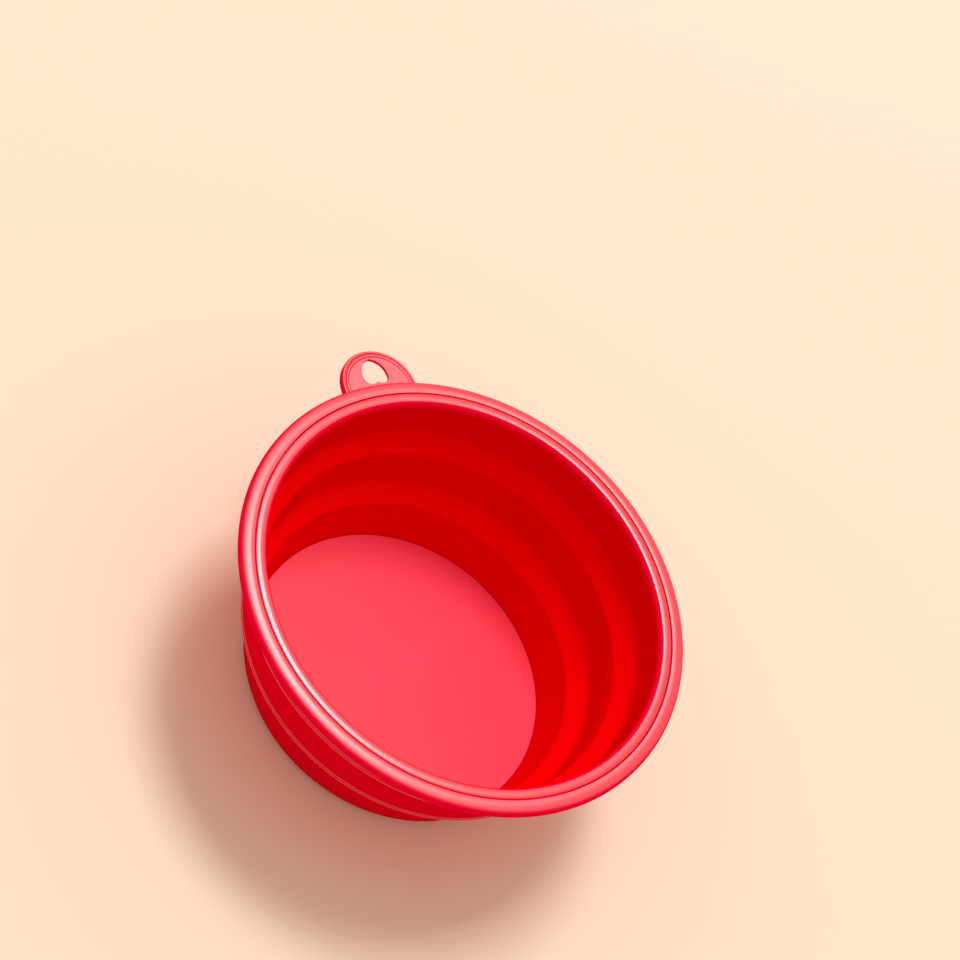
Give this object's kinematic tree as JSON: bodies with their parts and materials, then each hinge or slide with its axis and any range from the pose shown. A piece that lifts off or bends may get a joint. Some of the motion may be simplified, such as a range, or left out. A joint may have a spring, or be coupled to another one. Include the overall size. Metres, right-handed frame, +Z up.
{
  "type": "collapsible dog bowl",
  "caption": "Round collapsible travel bowl for dogs: a stiff rim ring with a hanging tab, a soft wall of nesting tiers that folds flat, and a stiff base plate.",
  "frame": {"origin": "middle of the flat underside, on the surface that the bowl stands on", "axes": "+Z up along the bowl's axis, out of its mouth; +Y towards the hanging tab on the rim"},
  "size_m": [0.13, 0.1407, 0.0524],
  "materials": {
    "plate_plastic": "satin moulded polypropylene, red",
    "wall_elastomer": "smooth satin thermoplastic elastomer, deep red",
    "rim_plastic": "satin moulded polypropylene, red"
  },
  "bodies": {
    "base": {"base_plate": "plate_plastic", "lower_tier": "wall_elastomer", "lower_fold_band": "wall_elastomer"},
    "middle": {"middle_tier": "wall_elastomer", "upper_fold_band": "wall_elastomer"},
    "rim": {"upper_tier": "wall_elastomer", "rim_ring": "rim_plastic"}
  },
  "joints": [
    {"name": "lower_fold", "type": "slide", "parent": "base", "child": "middle", "axis": [0, 0, -1], "range_m": [0, 0.0188], "deforming": ["lower_fold_band"]},
    {"name": "upper_fold", "type": "slide", "parent": "middle", "child": "rim", "axis": [0, 0, -1], "range_m": [0, 0.0188], "deforming": ["upper_fold_band"]}
  ]
}
